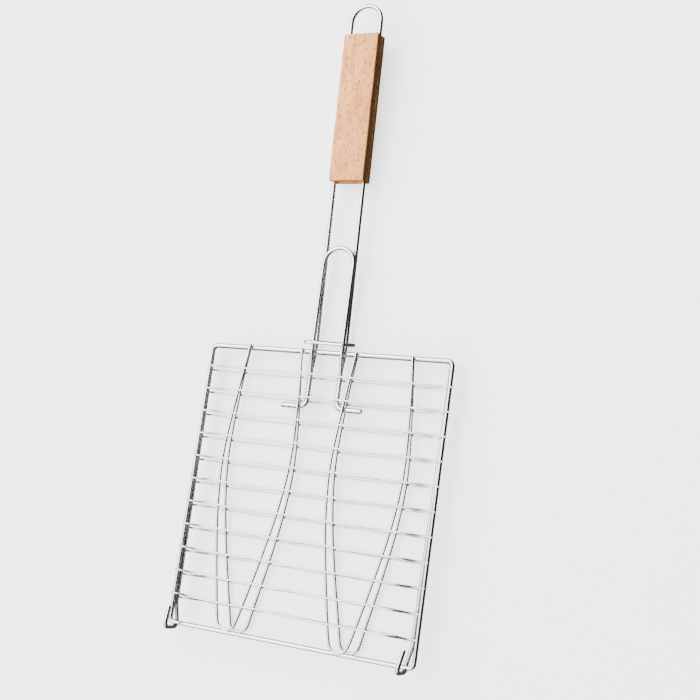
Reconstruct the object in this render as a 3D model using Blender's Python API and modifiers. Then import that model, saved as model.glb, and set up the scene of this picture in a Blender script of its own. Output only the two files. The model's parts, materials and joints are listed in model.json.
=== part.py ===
"""Hinged wire grill basket for two fish, with a long wooden grip and a sliding latch ring.

Two wire leaves close on each other. The back leaf carries the long handle and ends in two J hooks;
the front leaf is a closed frame whose bottom rail turns inside those hooks. A loose oval ring slides
down over both handles and holds the leaves shut. Each wire is its own solid, a hair off its neighbours
where the real ones are spot-welded.

Every size is in millimetres in the leaf frame: X across the basket, Y from the hinge rail towards the
handle, Z out of the front leaf. MM turns it into Blender's metres.
"""
import math

import bpy
import bmesh
from mathutils import Matrix, Vector

MM = 0.001

# ---------------------------------------------------------------- driving dimensions (mm)
BASKET_WIDTH = 250.0       # side rail to side rail, centre to centre
BASKET_LENGTH = 264.4      # hinge rail to top rail, centre to centre
CORNER_RADIUS = 5.0        # centre-line radius of the frame corners

FRAME_WIRE = 4.0           # diameters of the five wires
HANDLE_WIRE = 4.0
FISH_WIRE = 2.5
BAR_WIRE = 1.8
RING_WIRE = 3.0

WELD_GAP = 0.3             # clearance where two wires are welded across each other
HINGE_PLAY = 0.3           # clearance of the hinge rail inside the hooks, and between the leaves

BAR_COUNT = 11
FRONT_BAR_START = 25.4     # first bar of each leaf, above the hinge rail
BACK_BAR_START = 22.6
FRONT_BAR_DROP = 22.0      # last bar of each leaf, below the top rail
BACK_BAR_DROP = 23.4
BAR_OVERHANG = 1.5         # how far a bar end stands past the side rail's centre
BAR_SKEW = -0.0105         # the front leaf's bars and outlines sit a little off square (rad)
BACK_LEAF_SHIFT = -2.3     # side play of the back leaf in the hinge
BACK_TAPER = 3.3           # the back leaf's side rails come this much closer, each, at the hinge

DISH_SLOPE = 0.0325        # each leaf is dished outwards, deeper towards the hinge end
DISH_DROP = 21.4           # the dish starts this far below the top rail
BAR_LEVEL_INSET = 27.0     # a bar is level from this far inside the side rail
BAR_LOW_INSET = 4.0        # and has come down to the rail here

FISH_SPACING = 115.0       # centre line to centre line of the two outlines
FRONT_NOSE_Y = 2.7         # lowest place of an outline on each leaf
BACK_NOSE_Y = 0.5
FRONT_FISH_SET = (1.8, -0.4)  # how far right the tops of the front leaf's two outlines are set
FISH_NOSE_RADIUS = 10.0
FISH_NOSE_SWEEP = 77.0     # how far the round nose runs up each side (degrees)
FISH_TOP_OVERHANG = 2.1    # how far an outline's ends stand past the top rail's centre
FISH_SIDE = [              # height above the hinge rail and half width of an outline's side
    (25.0, 13.5), (70.0, 23.8), (115.0, 32.2), (162.0, 36.2), (218.0, 33.0),
]
FISH_TOP_HALF = 28.0

LEG_HALF = 15.5            # half the spacing of a handle's legs, and the radius of its round end
SHORT_HANDLE_X = 0.6       # middle of the front leaf's short loop at its end
SHORT_HANDLE_LEAN = 0.0115  # and how much further right it is per mm towards its feet
LONG_HANDLE_X = -2.2       # middle of the back leaf's long handle
SHORT_HANDLE_REACH = 98.6  # from the top rail to the short loop's end, centre line
HANGING_LOOP_REACH = 333.6  # from the top rail to the hanging loop's end, centre line
FOOT_DROP = 51.4           # from the top rail down to the two feet of each handle
FOOT_HALF = 41.0           # half the span over the feet
FOOT_BEND = 7.0
LEG_RAMP = 19.0            # a leg steps from inside the leaf to outside over this length
LEG_BEND = 14.0
INCLINE_REACH = 15.6       # from this far past the top rail the long handle rises
INCLINE = 0.072            # by this much per mm of length

GRIP_REACH = 162.8         # from the top rail to the grip's near end
GRIP_LENGTH = 141.7
GRIP_WIDTH = 36.0
GRIP_SLAB = 5.5
GRIP_CLEARANCE = 0.3       # between the handle wire and each slab
GRIP_RIB_HALF = 12.0       # the back slab's rib fills the space between the legs
GRIP_EDGE = 1.2            # rounding of the slabs' edges
SCREW_INSET = 28.0         # from each end of the grip to its screw
SCREW_LENGTH = 13.4
SCREW_SHANK = 3.4
SCREW_HEAD = 7.2
SCREW_HEAD_DEPTH = 2.2
SCREW_TIP = 2.0
SCREW_CLEARANCE = 0.3

RING_REACH = 9.1           # the ring's place past the top rail when it locks the basket
RING_TILT = 11.0           # it lies over with its back further from the hinge (degrees)
RING_TURN = -1.5           # and a little askew across the handles (degrees)
RING_CLEARANCE = 0.4       # over the four legs it holds together

HOOK_HALF = 118.2          # half the spacing of the hooks, inside the front leaf's corners
HOOK_REACH = 14.7          # how far a hook comes forward of the hinge rail
HOOK_TIP = (15.4, 11.5)    # height and forward place of its tip
HOOK_TIP_OUT = (0.0, 3.0)  # how far the left and the right tip lean outwards
HOOK_JOG_START = 18.0      # the back leaf's side rails step inwards from here
HOOK_JOG_END = 1.5
HOOK_JOG_BENDS = (8.0, 6.0)
HOOK_FRONT_BEND = 4.5

# ---------------------------------------------------------------- sizes that follow from them
FRAME_R = FRAME_WIRE / 2
HANDLE_R = HANDLE_WIRE / 2
FISH_R = FISH_WIRE / 2
BAR_R = BAR_WIRE / 2
RING_R = RING_WIRE / 2
SIDE_X = BASKET_WIDTH / 2
FRONT_BAR_PITCH = (BASKET_LENGTH - FRONT_BAR_START - FRONT_BAR_DROP) / (BAR_COUNT - 1)
BACK_BAR_PITCH = (BASKET_LENGTH - BACK_BAR_START - BACK_BAR_DROP) / (BAR_COUNT - 1)
DISH_END = BASKET_LENGTH - DISH_DROP
FOOT_Y = BASKET_LENGTH - FOOT_DROP
SHORT_HANDLE_TOP = BASKET_LENGTH + SHORT_HANDLE_REACH
HANGING_LOOP_TOP = BASKET_LENGTH + HANGING_LOOP_REACH
INCLINE_START = BASKET_LENGTH + INCLINE_REACH
GRIP_START = BASKET_LENGTH + GRIP_REACH
RING_Y = BASKET_LENGTH + RING_REACH
LEAF_STEP = FRAME_WIRE + HINGE_PLAY                    # from the front rails to the back rails
BAR_EDGE_Z = FRAME_R + BAR_R + WELD_GAP                # a bar in front of its side rail
BAR_OVER_FISH = FISH_R + BAR_R + WELD_GAP              # a bar in front of an outline
FISH_TOP_Z = FRAME_R + FISH_R + WELD_GAP               # an outline in front of the top rail
LEG_TOP_Z = FRAME_R + HANDLE_R + WELD_GAP              # a handle leg in front of the top rail
GRIP_GAP = HANDLE_WIRE + 2 * GRIP_CLEARANCE


def fish_z(y):
    """Height of an outline over its own frame: level at the top rail, deeper towards the hinge."""
    return FISH_TOP_Z + DISH_SLOPE * max(0.0, DISH_END - y)


FOOT_Z = fish_z(FOOT_Y) - FISH_R - HANDLE_R - WELD_GAP  # the feet lie inside the outlines


def smooth(t):
    """Ease from 0 to 1."""
    t = min(1.0, max(0.0, t))
    return t * t * (3 - 2 * t)


def skewed(x, y):
    """A place on the front leaf's mesh, turned a little about the foot of the leaf."""
    return x - BAR_SKEW * (y - FRONT_BAR_START), y + BAR_SKEW * x


def long_handle_z(y):
    """Height of the long handle's centre line above the front leaf's plane."""
    return -LEAF_STEP - LEG_TOP_Z + INCLINE * max(0.0, y - INCLINE_START)


def short_handle_x(y):
    """Middle of the short handle at height y."""
    return SHORT_HANDLE_X + SHORT_HANDLE_LEAN * (SHORT_HANDLE_TOP - y)


def rail_half(y, leaf):
    """Half the spacing of a leaf's side rails: even on the front leaf, tapering on the back one."""
    return SIDE_X if leaf > 0 else SIDE_X - BACK_TAPER * (1 - y / BASKET_LENGTH)


# ---------------------------------------------------------------- paths
def arc(centre, radius, start, end, steps):
    """Points on an arc in the XY plane, from angle start to angle end in degrees."""
    points = []
    for i in range(steps + 1):
        a = math.radians(start + (end - start) * i / steps)
        points.append((centre[0] + radius * math.cos(a), centre[1] + radius * math.sin(a)))
    return points


def through(points, steps):
    """A Catmull-Rom curve through points of any dimension, with steps stretches between two."""
    first = [2 * a - b for a, b in zip(points[0], points[1])]
    last = [2 * a - b for a, b in zip(points[-1], points[-2])]
    p = [first] + [list(q) for q in points] + [last]
    out = []
    for i in range(1, len(p) - 2):
        for k in range(steps):
            t = k / steps
            out.append(tuple(
                0.5 * (2 * b + (c - a) * t + (2 * a - 5 * b + 4 * c - d) * t * t
                       + (3 * b - a - 3 * c + d) * t ** 3)
                for a, b, c, d in zip(p[i - 1], p[i], p[i + 1], p[i + 2])))
    out.append(tuple(points[-1]))
    return out


def bent(points, radii, steps=4):
    """A 3D polyline whose inner corners are rounded, each to its own radius."""
    pts = [Vector(q) for q in points]
    out = [pts[0]]
    for i in range(1, len(pts) - 1):
        before = (pts[i - 1] - pts[i]).normalized()
        after = (pts[i + 1] - pts[i]).normalized()
        half = before.angle(after) / 2
        reach = radii[i - 1] / math.tan(half)
        centre = pts[i] + (before + after).normalized() * (radii[i - 1] / math.sin(half))
        a = pts[i] + before * reach - centre
        b = pts[i] + after * reach - centre
        turn = a.angle(b)
        for k in range(steps + 1):
            t = k / steps
            spoke = (a * math.sin((1 - t) * turn) + b * math.sin(t * turn)) / math.sin(turn)
            out.append(centre + spoke)
    out.append(pts[-1])
    return [tuple(q) for q in out]


# ---------------------------------------------------------------- scene set-up
for old in list(bpy.data.objects):
    bpy.data.objects.remove(old, do_unlink=True)

parts = bpy.data.collections.new("grill_basket")
cutters = bpy.data.collections.new("cutters")
bpy.context.scene.collection.children.link(parts)
bpy.context.scene.collection.children.link(cutters)


def principled(name, colour, roughness, metallic):
    mat = bpy.data.materials.new(name)
    mat.use_nodes = True
    bsdf = mat.node_tree.nodes["Principled BSDF"]
    bsdf.inputs["Base Color"].default_value = (*colour, 1.0)
    bsdf.inputs["Roughness"].default_value = roughness
    bsdf.inputs["Metallic"].default_value = metallic
    return mat


def steel(name):
    """Bright plated steel wire."""
    return principled(name + "_steel", (0.78, 0.78, 0.77), 0.24, 1.0)


def beech(name):
    """Pale oiled wood."""
    return principled(name + "_wood", (0.80, 0.58, 0.40), 0.55, 0.0)


def pivot(name, location, parent=None, pitch=0.0):
    """An empty on a joint's axis, or the one that lays the whole basket down."""
    empty = bpy.data.objects.new(name, None)
    empty.empty_display_size = 0.02
    empty.location = Vector(location) * MM
    empty.rotation_euler = (pitch, 0.0, 0.0)
    empty.parent = parent
    parts.objects.link(empty)
    return empty


def wire(name, points, diameter, parent, origin=(0, 0, 0), cyclic=False):
    """A round wire along a polyline: a curve with a round bevel and closed ends."""
    curve = bpy.data.curves.new(name, "CURVE")
    curve.dimensions = "3D"
    curve.bevel_depth = diameter / 2 * MM
    curve.bevel_resolution = 2
    curve.use_fill_caps = True
    spline = curve.splines.new("POLY")
    spline.points.add(len(points) - 1)
    for point, place in zip(spline.points, points):
        point.co = (*((Vector(place) - Vector(origin)) * MM), 1.0)
    spline.use_cyclic_u = cyclic
    spline.use_smooth = True
    curve.materials.append(steel(name))
    ob = bpy.data.objects.new(name, curve)
    ob.parent = parent
    parts.objects.link(ob)
    return ob


# ---------------------------------------------------------------- how it lies, and its joints
# The closed basket lies on the back leaf's first bar and on the latch ring.
RING_X = (short_handle_x(RING_Y) + LONG_HANDLE_X) / 2
RING_Z = (LEG_TOP_Z + long_handle_z(RING_Y)) / 2
RING_LOW = long_handle_z(RING_Y) - HANDLE_R - RING_CLEARANCE - RING_WIRE
RING_LOW_Y = RING_Y + (RING_Z - RING_LOW - RING_R) * math.tan(math.radians(RING_TILT))
BAR_LOW = -LEAF_STEP - fish_z(BACK_BAR_START) - BAR_OVER_FISH - BAR_R
LEAN = math.atan2(RING_LOW - BAR_LOW, RING_LOW_Y - BACK_BAR_START)
laid_flat = pivot("laid_flat", (0, 0, 0), pitch=-LEAN)
front_hinge = pivot("front_leaf_hinge", (0, 0, 0), laid_flat)
ring_slide = pivot("latch_ring_slide", (RING_X, RING_Y, RING_Z), laid_flat)


# ---------------------------------------------------------------- frames
def front_frame():
    """Closed rounded rectangle; its bottom rail is the hinge rod."""
    r = CORNER_RADIUS
    flat = []
    corners = [(SIDE_X, 0, -90), (SIDE_X, BASKET_LENGTH, 0), (-SIDE_X, BASKET_LENGTH, 90), (-SIDE_X, 0, 180)]
    for x, y, start in corners:
        centre = (x - math.copysign(r, x), y + r if y == 0 else y - r)
        flat += arc(centre, r, start, start + 90, 5)
    wire("front_frame", [(x, y, 0) for x, y in flat], FRAME_WIRE, front_hinge, cyclic=True)


def hook_path(side):
    """One J hook, from the side rail inwards, round the hinge rail, forward and up to its tip."""
    hook_x = side * HOOK_HALF + BACK_LEAF_SHIFT
    tip_x = hook_x + side * HOOK_TIP_OUT[side > 0]
    tip_y, tip_z = HOOK_TIP
    rail = [(side * rail_half(y, -1) + BACK_LEAF_SHIFT, y) for y in (BASKET_LENGTH / 2, HOOK_JOG_START)]
    corners = [
        (*rail[0], -LEAF_STEP),
        (*rail[1], -LEAF_STEP),
        (hook_x, HOOK_JOG_END, -LEAF_STEP),
        (hook_x, -LEAF_STEP, -LEAF_STEP),
        (hook_x, -LEAF_STEP, HOOK_REACH),
        (tip_x, tip_y, tip_z),
    ]
    return bent(corners, [*HOOK_JOG_BENDS, LEAF_STEP, HOOK_FRONT_BEND])


def back_frame():
    """Top rail and two side rails in one wire, ending in the hooks."""
    r = CORNER_RADIUS
    x = SIDE_X - r
    top = arc((x, BASKET_LENGTH - r), r, 0, 90, 5) + arc((-x, BASKET_LENGTH - r), r, 90, 180, 5)
    rail = [(px + BACK_LEAF_SHIFT, py, -LEAF_STEP) for px, py in top]
    right = list(reversed(hook_path(1)))[:-1]
    left = hook_path(-1)[1:]
    wire("back_frame_with_hooks", right + rail + left, FRAME_WIRE, laid_flat)


# ---------------------------------------------------------------- bars and fish outlines
def on_leaf(x, y, z, leaf):
    """Put a place of the mesh on the front leaf, or mirrored through the thickness on the back one."""
    if leaf > 0:
        px, py = skewed(x, y)
        return px, py, z
    return x + BACK_LEAF_SHIFT, y, -LEAF_STEP - z


def bar_points(y, leaf):
    """One cross bar: level in the middle, coming down to the side rails. leaf is 1 front, -1 back."""
    fall = BAR_LEVEL_INSET - BAR_LOW_INSET
    low = rail_half(y, leaf) - BAR_LOW_INSET
    stations = [rail_half(y, leaf) + BAR_OVERHANG] + [low - fall * k / 5 for k in range(6)]
    level = fish_z(y) + BAR_OVER_FISH
    points = []
    for x in [-s for s in stations] + list(reversed(stations)):
        z = BAR_EDGE_Z + (level - BAR_EDGE_Z) * smooth((low - abs(x)) / fall)
        points.append(on_leaf(x, y, z, leaf))
    return points


def cross_bars():
    for leaf, word, start, pitch, parent in (
            (1, "front", FRONT_BAR_START, FRONT_BAR_PITCH, front_hinge),
            (-1, "back", BACK_BAR_START, BACK_BAR_PITCH, laid_flat)):
        for k in range(BAR_COUNT):
            name = "%s_bar_%02d" % (word, k + 1)
            wire(name, bar_points(start + k * pitch, leaf), BAR_WIRE, parent)


def fish_outline(name, side, leaf, parent):
    """A fish shape open at the top: nose by the hinge, both ends welded over the top rail."""
    nose_y = FRONT_NOSE_Y if leaf > 0 else BACK_NOSE_Y
    top_set = FRONT_FISH_SET[side > 0] if leaf > 0 else 0.0
    centre = side * FISH_SPACING / 2
    nose = arc((0, nose_y + FISH_NOSE_RADIUS), FISH_NOSE_RADIUS, -90, FISH_NOSE_SWEEP - 90, 5)
    side = [(half, y) for y, half in FISH_SIDE] + [(FISH_TOP_HALF, BASKET_LENGTH + FISH_TOP_OVERHANG)]
    half_line = nose[:-1] + through([nose[-1]] + side, 4)
    mirrored = [(-x, y) for x, y in reversed(half_line[1:])]
    points = []
    for x, y in mirrored + half_line:
        points.append(on_leaf(centre + top_set * y / BASKET_LENGTH + x, y, fish_z(y), leaf))
    wire(name, points, FISH_WIRE, parent)


def fish_outlines():
    for leaf, word, parent in ((1, "front", front_hinge), (-1, "back", laid_flat)):
        for side, hand in ((-1, "left"), (1, "right")):
            fish_outline("%s_fish_outline_%s" % (word, hand), side, leaf, parent)


# ---------------------------------------------------------------- handles
def leg(side, upper):
    """A handle's foot and leg: inside the outlines, then out over the top rail and on to upper."""
    x = side * LEG_HALF
    over = BASKET_LENGTH - FRAME_R
    corners = [
        (side * FOOT_HALF, FOOT_Y, FOOT_Z),
        (x, FOOT_Y, FOOT_Z),
        (x, over - LEG_RAMP, FOOT_Z),
        (x, over, LEG_TOP_Z),
    ]
    corners += [(x, y, z) for y, z in upper]
    bends = [FOOT_BEND] + [LEG_BEND] * (len(corners) - 3)
    return bent(corners, bends)


def short_handle():
    """Loop of the front leaf."""
    end_y = SHORT_HANDLE_TOP - LEG_HALF
    crown = [(x, y, LEG_TOP_Z) for x, y in arc((0, end_y), LEG_HALF, 180, 0, 14)]
    upper = [(end_y, LEG_TOP_Z)]
    path = leg(-1, upper) + crown[1:-1] + list(reversed(leg(1, upper)))
    points = [(x + short_handle_x(y), y, z) for x, y, z in path]
    wire("short_handle_loop", points, HANDLE_WIRE, front_hinge)


def long_handle():
    """Long handle of the back leaf, running up through the grip into the hanging loop."""
    end_y = HANGING_LOOP_TOP - LEG_HALF
    crown = arc((0, end_y), LEG_HALF, 180, 0, 14)
    # The leg is laid out like the front one and mirrored through the thickness.
    upper = [(y, -LEAF_STEP - long_handle_z(y)) for y in (INCLINE_START, end_y)]
    left = leg(-1, upper)
    right = leg(1, upper)
    path = left + [(x, y, -LEAF_STEP - long_handle_z(y)) for x, y in crown[1:-1]] + list(reversed(right))
    points = [(x + LONG_HANDLE_X, y, -LEAF_STEP - z) for x, y, z in path]
    wire("long_handle_wire", points, HANDLE_WIRE, laid_flat)


# ---------------------------------------------------------------- grip
def grip_axis():
    """An empty at the grip's middle, turned with the long handle."""
    y = GRIP_START + GRIP_LENGTH / 2
    return pivot("grip_axis", (LONG_HANDLE_X, y, long_handle_z(y)), laid_flat, math.atan(INCLINE))


def mesh_object(name, bm, collection, parent):
    mesh = bpy.data.meshes.new(name)
    bm.to_mesh(mesh)
    bm.free()
    ob = bpy.data.objects.new(name, mesh)
    ob.parent = parent
    collection.objects.link(ob)
    return ob


def turned_screw(name, clearance, y, collection, parent):
    """Countersunk wood screw turned about its axis: head in the back face, point in the front slab."""
    shank = SCREW_SHANK / 2 + clearance
    head = SCREW_HEAD / 2 + clearance
    back = -GRIP_GAP / 2 - GRIP_SLAB
    start = back - clearance if clearance else back + WELD_GAP
    tip = back + SCREW_LENGTH + clearance
    profile = [
        (0.0, tip), (shank, tip - SCREW_TIP), (shank, back + SCREW_HEAD_DEPTH + clearance),
        (head, back + WELD_GAP + clearance), (head, start), (0.0, start),
    ]
    if not clearance:
        profile.pop(-2)
    bm = bmesh.new()
    verts = [bm.verts.new((r * MM, 0.0, z * MM)) for r, z in profile]
    for a, b in zip(verts, verts[1:]):
        bm.edges.new((a, b))
    ob = mesh_object(name, bm, collection, parent)
    ob.location = (0.0, y * MM, 0.0)
    turn = ob.modifiers.new("turn", "SCREW")
    turn.steps = 20
    turn.render_steps = 20
    turn.use_merge_vertices = True
    turn.merge_threshold = 0.00001
    turn.use_smooth_shade = True
    return ob


def slab_mesh(side):
    """A grip slab as a section across the grip drawn along its length; the back one has the rib."""
    half = GRIP_WIDTH / 2
    inner = GRIP_GAP / 2
    outer = inner + GRIP_SLAB
    section = [(-half, outer), (half, outer), (half, inner)]
    if side < 0:
        rib_top = GRIP_CLEARANCE - inner
        section += [(GRIP_RIB_HALF, inner), (GRIP_RIB_HALF, rib_top)]
        section += [(-GRIP_RIB_HALF, rib_top), (-GRIP_RIB_HALF, inner)]
    section.append((-half, inner))
    bm = bmesh.new()
    start = [bm.verts.new((x * MM, -GRIP_LENGTH / 2 * MM, side * z * MM)) for x, z in section]
    face = bm.faces.new(start)
    grown = bmesh.ops.extrude_face_region(bm, geom=[face])
    moved = [item for item in grown["geom"] if isinstance(item, bmesh.types.BMVert)]
    bmesh.ops.translate(bm, verts=moved, vec=(0.0, GRIP_LENGTH * MM, 0.0))
    bmesh.ops.recalc_face_normals(bm, faces=bm.faces)
    return bm


def grip():
    axis = grip_axis()
    reach = GRIP_LENGTH / 2 - SCREW_INSET
    holes = []
    for k, y in enumerate((-reach, reach)):
        screw = turned_screw("grip_screw_%d" % (k + 1), 0.0, y, parts, axis)
        screw.data.materials.append(steel(screw.name))
        hole = turned_screw("screw_hole_%d" % (k + 1), SCREW_CLEARANCE, y, cutters, axis)
        hole.hide_render = True
        hole.display_type = "WIRE"
        holes.append(hole)
    for name, side in (("grip_slab_front", 1), ("grip_slab_back", -1)):
        slab = mesh_object(name, slab_mesh(side), parts, axis)
        slab.data.materials.append(beech(name))
        edge = slab.modifiers.new("edge", "BEVEL")
        edge.width = GRIP_EDGE * MM
        edge.segments = 2
        for hole in holes:
            cut = slab.modifiers.new("screw hole", "BOOLEAN")
            cut.operation = "DIFFERENCE"
            cut.object = hole


# ---------------------------------------------------------------- latch ring
def latch_ring():
    """Oval wire ring round all four handle legs, loose enough to slide."""
    play = HANDLE_R + RING_CLEARANCE + RING_R
    tilt = Matrix.Rotation(math.radians(RING_TURN), 3, "Z") @ Matrix.Rotation(math.radians(RING_TILT), 3, "X")
    half_height = ((LEG_TOP_Z - long_handle_z(RING_Y)) / 2 + play) / math.cos(math.radians(RING_TILT))
    half_width = (short_handle_x(RING_Y) - LONG_HANDLE_X) / 2 + LEG_HALF + play
    points = []
    for sx, sz, start in ((1, 1, 0), (-1, 1, 90), (-1, -1, 180), (1, -1, 270)):
        points += arc((sx * (half_width - play), sz * (half_height - play)), play, start, start + 90, 6)
    wire("latch_ring", [tilt @ Vector((x, 0, z)) for x, z in points], RING_WIRE, ring_slide, cyclic=True)


def settle():
    """Put the lowest wires on the floor and the middle of the footprint over the origin."""
    bpy.context.view_layer.update()
    depsgraph = bpy.context.evaluated_depsgraph_get()
    low = Vector((1.0, 1.0, 1.0))
    high = -low
    for ob in parts.objects:
        if ob.type == "EMPTY":
            continue
        shape = ob.evaluated_get(depsgraph)
        mesh = shape.to_mesh()
        for vert in mesh.vertices:
            place = shape.matrix_world @ vert.co
            low = Vector(map(min, low, place))
            high = Vector(map(max, high, place))
        shape.to_mesh_clear()
    middle = (low + high) / 2
    laid_flat.location = (-middle.x, -middle.y, -low.z)


front_frame()
back_frame()
cross_bars()
fish_outlines()
short_handle()
long_handle()
grip()
latch_ring()
settle()
bpy.context.view_layer.update()
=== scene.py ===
# %% [markdown]
# A hinged wire grill basket. Two leaves of welded steel wire close on each other over the fish, a long
# handle ends in a wooden grip and a hanging loop, and a loose oval ring slides down to lock the leaves.
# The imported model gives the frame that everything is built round: where the hinge is, how far the
# closed basket leans on its bars, and which body each wire moves with.

# %% Load the frame
import json
import math
import random

import bpy
from mathutils import Matrix, Vector
from mathutils.kdtree import KDTree


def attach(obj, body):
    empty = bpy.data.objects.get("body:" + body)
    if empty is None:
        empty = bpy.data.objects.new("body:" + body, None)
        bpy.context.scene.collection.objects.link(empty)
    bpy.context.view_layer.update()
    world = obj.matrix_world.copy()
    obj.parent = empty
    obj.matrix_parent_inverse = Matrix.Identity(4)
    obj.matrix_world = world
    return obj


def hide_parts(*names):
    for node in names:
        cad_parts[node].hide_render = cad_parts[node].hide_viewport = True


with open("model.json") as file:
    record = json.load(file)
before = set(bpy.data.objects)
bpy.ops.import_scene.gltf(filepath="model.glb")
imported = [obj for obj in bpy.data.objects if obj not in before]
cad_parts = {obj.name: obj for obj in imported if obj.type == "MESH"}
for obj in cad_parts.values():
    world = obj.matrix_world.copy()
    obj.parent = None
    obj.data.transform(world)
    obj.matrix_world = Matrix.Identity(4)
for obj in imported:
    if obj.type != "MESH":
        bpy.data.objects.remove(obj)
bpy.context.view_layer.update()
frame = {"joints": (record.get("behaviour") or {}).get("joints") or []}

# %% [markdown]
# All sizes below are millimetres in the basket's own frame: X across, Y from the hinge rail towards the
# handle, Z out of the front leaf. The hinge's place and the ring's direction of travel come from the
# record, and together they say how that frame stands on the floor. The wires' sizes repeat the ones the
# solids were made with, because a round wire is drawn again from its centre line.

# %% The basket's own frame
MM = 0.001
joints = {joint["name"]: joint for joint in frame["joints"]}
hinge_place = Vector(joints["leaf_hinge"]["pos_m"])
along = Vector(joints["ring_slide"]["axis"]).normalized()
across = Vector((1.0, 0.0, 0.0))
leaf_axes = Matrix((across, along, across.cross(along))).transposed()
LEAF_TO_FLOOR = Matrix.Translation(hinge_place) @ leaf_axes.to_4x4()


def on_floor(x, y, z):
    """A place in the basket's own frame, in mm, as a place in the shared frame, in metres."""
    return LEAF_TO_FLOOR @ (Vector((x, y, z)) * MM)


print("hinge rail is %.1f mm over the floor" % (hinge_place.z / MM))

# %% Sizes of the wires and leaves
BASKET_WIDTH = 250.0
BASKET_LENGTH = 264.4
CORNER_RADIUS = 5.0
FRAME_WIRE = 4.0
HANDLE_WIRE = 4.0
FISH_WIRE = 2.5
BAR_WIRE = 1.8
RING_WIRE = 3.0
WELD_GAP = 0.3
HINGE_PLAY = 0.3
BAR_COUNT = 11
FRONT_BAR_PITCH = 21.7
BACK_BAR_PITCH = 21.84
FRONT_BAR_START = 25.4
BACK_BAR_START = 22.6
BAR_OVERHANG = 1.5
BAR_SKEW = -0.0105
BACK_LEAF_SHIFT = -2.3
BACK_TAPER = 3.3
DISH_SLOPE = 0.0325
DISH_END = 243.0
BAR_LEVEL_INSET = 27.0
BAR_LOW_INSET = 4.0
FISH_SPACING = 115.0
FRONT_NOSE_Y = 2.7
BACK_NOSE_Y = 0.5
FRONT_FISH_SET = (1.8, -0.4)
FISH_NOSE_RADIUS = 10.0
FISH_NOSE_SWEEP = 77.0
FISH_TOP_OVERHANG = 2.1
FISH_SIDE = [(25.0, 13.5), (70.0, 23.8), (115.0, 32.2), (162.0, 36.2), (218.0, 33.0)]
FISH_TOP_HALF = 28.0
LEG_HALF = 15.5
SHORT_HANDLE_X = 0.6
SHORT_HANDLE_LEAN = 0.0115
LONG_HANDLE_X = -2.2
SHORT_HANDLE_TOP = 363.0
HANGING_LOOP_TOP = 598.0
FOOT_Y = 213.0
FOOT_HALF = 41.0
FOOT_BEND = 7.0
LEG_RAMP = 19.0
LEG_BEND = 14.0
INCLINE_START = 280.0
INCLINE = 0.072
GRIP_START = 427.2
GRIP_LENGTH = 141.7
GRIP_WIDTH = 36.0
GRIP_SLAB = 5.5
GRIP_CLEARANCE = 0.3
GRIP_RIB_HALF = 12.0
SCREW_INSET = 28.0
SCREW_HEAD = 7.2
RING_Y = 273.5
RING_TILT = 11.0
RING_TURN = -1.5
RING_CLEARANCE = 0.4
HOOK_HALF = 118.2
HOOK_REACH = 14.7
HOOK_TIP = (15.4, 11.5)
HOOK_TIP_OUT = (0.0, 3.0)
HOOK_JOG_START = 18.0
HOOK_JOG_END = 1.5
HOOK_JOG_BENDS = (8.0, 6.0)
HOOK_FRONT_BEND = 4.5

FRAME_R = FRAME_WIRE / 2
HANDLE_R = HANDLE_WIRE / 2
FISH_R = FISH_WIRE / 2
BAR_R = BAR_WIRE / 2
RING_R = RING_WIRE / 2
SIDE_X = BASKET_WIDTH / 2
LEAF_STEP = FRAME_WIRE + HINGE_PLAY
BAR_EDGE_Z = FRAME_R + BAR_R + WELD_GAP
BAR_OVER_FISH = FISH_R + BAR_R + WELD_GAP
FISH_TOP_Z = FRAME_R + FISH_R + WELD_GAP
LEG_TOP_Z = FRAME_R + HANDLE_R + WELD_GAP
GRIP_GAP = HANDLE_WIRE + 2 * GRIP_CLEARANCE


def fish_z(y):
    """Height of an outline over its own frame: level at the top rail, deeper towards the hinge."""
    return FISH_TOP_Z + DISH_SLOPE * max(0.0, DISH_END - y)


def long_handle_z(y):
    """Height of the long handle's centre line."""
    return -LEAF_STEP - LEG_TOP_Z + INCLINE * max(0.0, y - INCLINE_START)


def short_handle_x(y):
    """Middle of the short handle at height y."""
    return SHORT_HANDLE_X + SHORT_HANDLE_LEAN * (SHORT_HANDLE_TOP - y)


def rail_half(y, leaf):
    """Half the spacing of a leaf's side rails: even on the front leaf (1), tapering on the back one (-1)."""
    return SIDE_X if leaf > 0 else SIDE_X - BACK_TAPER * (1 - y / BASKET_LENGTH)


def fish_middle(side, y, leaf):
    """Middle of an outline at height y, before the leaf's own shift or skew."""
    top_set = FRONT_FISH_SET[side > 0] if leaf > 0 else 0.0
    return side * FISH_SPACING / 2 + top_set * y / BASKET_LENGTH


FOOT_Z = fish_z(FOOT_Y) - FISH_R - HANDLE_R - WELD_GAP
depth = 2 * (fish_z(FRONT_BAR_START) + BAR_OVER_FISH) + LEAF_STEP
print("the leaves are %.1f mm deep at the hinge" % depth)

# %% [markdown]
# The basket is looked at from in front and well above, a little from the right, with a long lens, so its
# sides stay nearly parallel. The camera is set in the basket's own frame too: a place, and the three
# directions of its right, up and back.

# %% Camera
LENS = 61.3
SENSOR = 36.0
CAMERA_PLACE = (518.3, 112.1, 956.3)
CAMERA_RIGHT = Vector((0.888, 0.139, -0.4375))
CAMERA_BACK = Vector((0.4553, -0.1435, 0.8787))

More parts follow.
